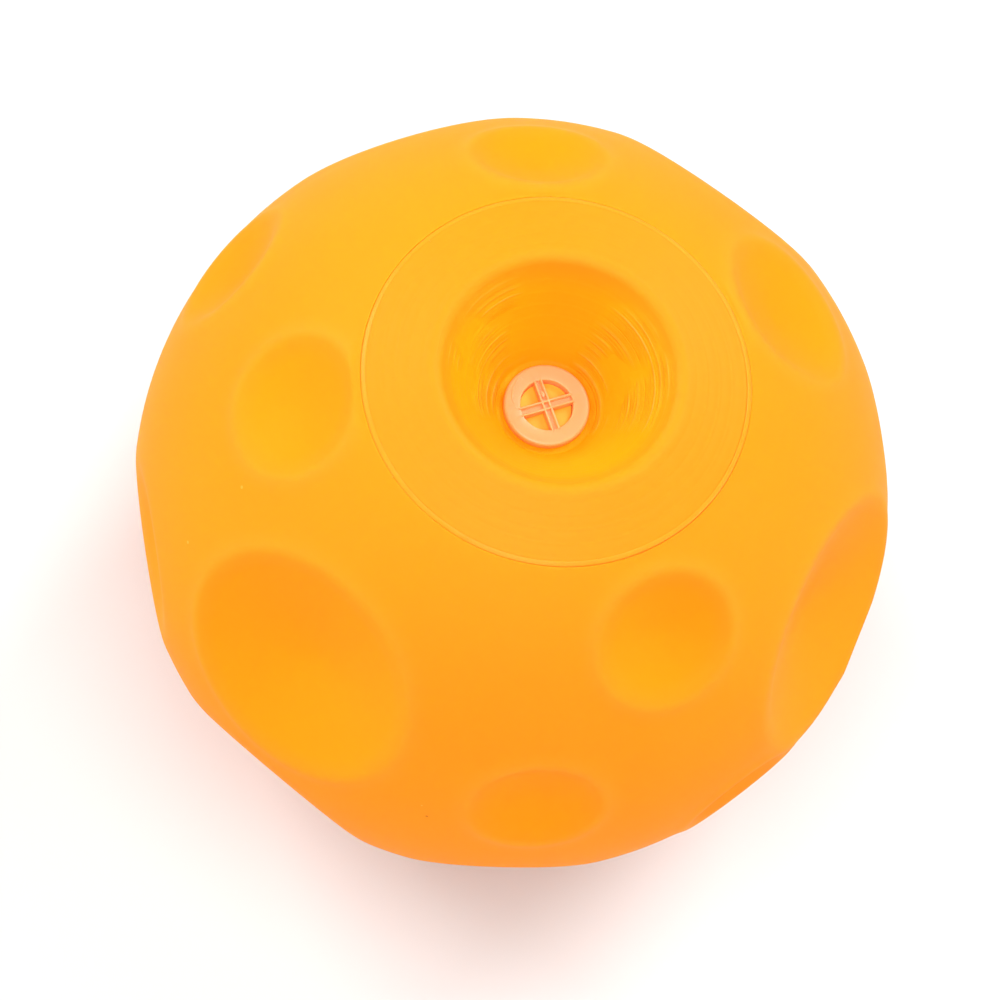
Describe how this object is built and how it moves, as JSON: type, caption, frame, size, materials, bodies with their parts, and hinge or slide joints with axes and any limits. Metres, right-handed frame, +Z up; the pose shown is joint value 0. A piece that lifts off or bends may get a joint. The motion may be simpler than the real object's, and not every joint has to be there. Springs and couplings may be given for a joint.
{
  "type": "squeaky crater ball",
  "caption": "Hollow soft-vinyl play ball with a cratered surface, a funnel-shaped opening at one end and a push-in reed squeaker at the bottom of the funnel.",
  "frame": {"origin": "centre of the base crater's rim, on the plane that the ball stands on, straight below the ball's centre", "axes": "+Z up along the funnel's and the squeaker's axis, towards the funnel's mouth; -Y towards the side that is usually seen; X completes a right-handed frame"},
  "size_m": [0.075, 0.075, 0.0717],
  "materials": {
    "vinyl_shell": "semi-matte soft vinyl, slightly translucent",
    "vinyl_funnel": "semi-matte soft vinyl with fine turned rings",
    "vinyl_cement": "satin bead of vinyl cement",
    "natural_polythene": "translucent natural polythene, satin",
    "orange_polythene": "moulded orange plastic, satin",
    "clear_film": "clear plastic film, glossy"
  },
  "bodies": {
    "shell": {"ball_shell": "vinyl_shell"},
    "funnel_end": {"funnel_cap": "vinyl_funnel", "seam_cement": "vinyl_cement", "squeaker_housing": "natural_polythene", "reed_seat": "orange_polythene", "reed_clamp": "natural_polythene"},
    "tongue": {"reed": "clear_film"}
  },
  "joints": [
    {"name": "squeeze", "type": "slide", "parent": "shell", "child": "funnel_end", "axis": [0, 0, -1], "range_m": [0, 0.01], "stiffness_N_per_m": 1500, "deforming": ["ball_shell"]},
    {"name": "reed_flex", "type": "hinge", "parent": "funnel_end", "child": "tongue", "pos_m": [-0.00008, 0.00009, 0.05364], "axis": [0.766, 0.6428, 0], "range_deg": [-2, 4], "stiffness_Nm_per_rad": 0.0005}
  ]
}
